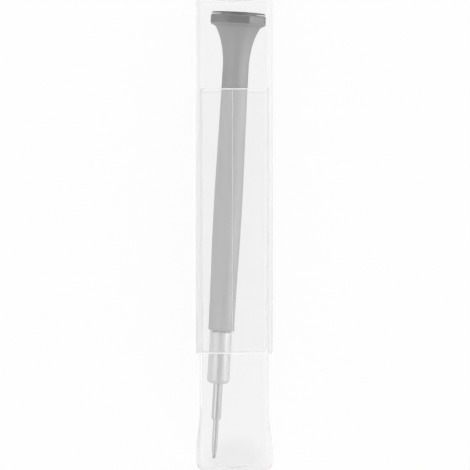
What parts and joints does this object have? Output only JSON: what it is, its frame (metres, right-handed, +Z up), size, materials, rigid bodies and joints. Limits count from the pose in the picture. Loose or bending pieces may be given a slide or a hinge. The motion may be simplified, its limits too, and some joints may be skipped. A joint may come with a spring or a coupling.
{
  "type": "watch screwdriver",
  "caption": "Slim watch screwdriver with a swivel cap on an eight-sided head, a collet chuck and a flat blade, lying in a clear square telescoping case.",
  "frame": {"origin": "centre of the closed case's footprint, on the surface that it lies on", "axes": "+Z up, +Y along the case towards the sleeve's closed end and the tool's head"},
  "size_m": [0.019, 0.1176, 0.019],
  "materials": {
    "grey_metal": "satin grey",
    "dark_metal": "satin dark grey",
    "bearing_steel": "ground and polished",
    "cage_brass": "plain",
    "polished_steel": "polished",
    "blade_steel": "ground",
    "clear_plastic": "clear, slightly hazy"
  },
  "bodies": {
    "tool_handle": {"handle": "grey_metal", "bearing_inner_race": "bearing_steel", "pivot_screw": "polished_steel"},
    "tool_cap": {"swivel_cap": "dark_metal", "cap_insert": "grey_metal", "bearing_outer_race": "bearing_steel", "bearing_shield_upper": "bearing_steel", "bearing_shield_lower": "bearing_steel"},
    "ball_set": {"ball_cage": "cage_brass", "bearing_ball_1": "bearing_steel", "bearing_ball_2": "bearing_steel", "bearing_ball_3": "bearing_steel", "bearing_ball_4": "bearing_steel", "bearing_ball_5": "bearing_steel", "bearing_ball_6": "bearing_steel", "bearing_ball_7": "bearing_steel"},
    "chuck_collet": {"collet": "blade_steel"},
    "chuck_collar": {"chuck_nut": "polished_steel"},
    "tool_blade": {"blade": "blade_steel"},
    "sleeve": {"case_sleeve": "clear_plastic"},
    "base": {"case_base": "clear_plastic"}
  },
  "joints": [
    {"name": "cap_swivel", "type": "hinge", "parent": "tool_handle", "child": "tool_cap", "pos_m": [0.00095, 0.05338, 0.00783], "axis": [0.0558, 0.9978, 0.0357], "continuous": true},
    {"name": "ball_orbit", "type": "hinge", "parent": "tool_handle", "child": "ball_set", "pos_m": [0.00095, 0.05338, 0.00783], "axis": [0.0558, 0.9978, 0.0357], "continuous": true},
    {"name": "collet_feed", "type": "slide", "parent": "tool_handle", "child": "chuck_collet", "axis": [-0.0558, -0.9978, -0.0357], "range_m": [0, 0.0005]},
    {"name": "nut_turn", "type": "hinge", "parent": "chuck_collet", "child": "chuck_collar", "pos_m": [-0.00377, -0.03106, 0.00481], "axis": [-0.0558, -0.9978, -0.0357], "range_deg": [-4, 364]},
    {"name": "blade_slide", "type": "slide", "parent": "chuck_collet", "child": "tool_blade", "axis": [0.0558, 0.9978, 0.0357], "range_m": [0, 0.008]},
    {"name": "sleeve_pull", "type": "slide", "parent": "tool_handle", "child": "sleeve", "axis": [0, 1, 0], "range_m": [-0.001, 0.09]},
    {"name": "base_pull", "type": "slide", "parent": "tool_handle", "child": "base", "axis": [0, -1, 0], "range_m": [0, 0.096]}
  ],
  "couplings": [
    {"joint": "ball_orbit", "follows": "cap_swivel", "ratio": 0.6},
    {"joint": "nut_turn", "follows": "collet_feed", "rad_per_m": 12566}
  ]
}
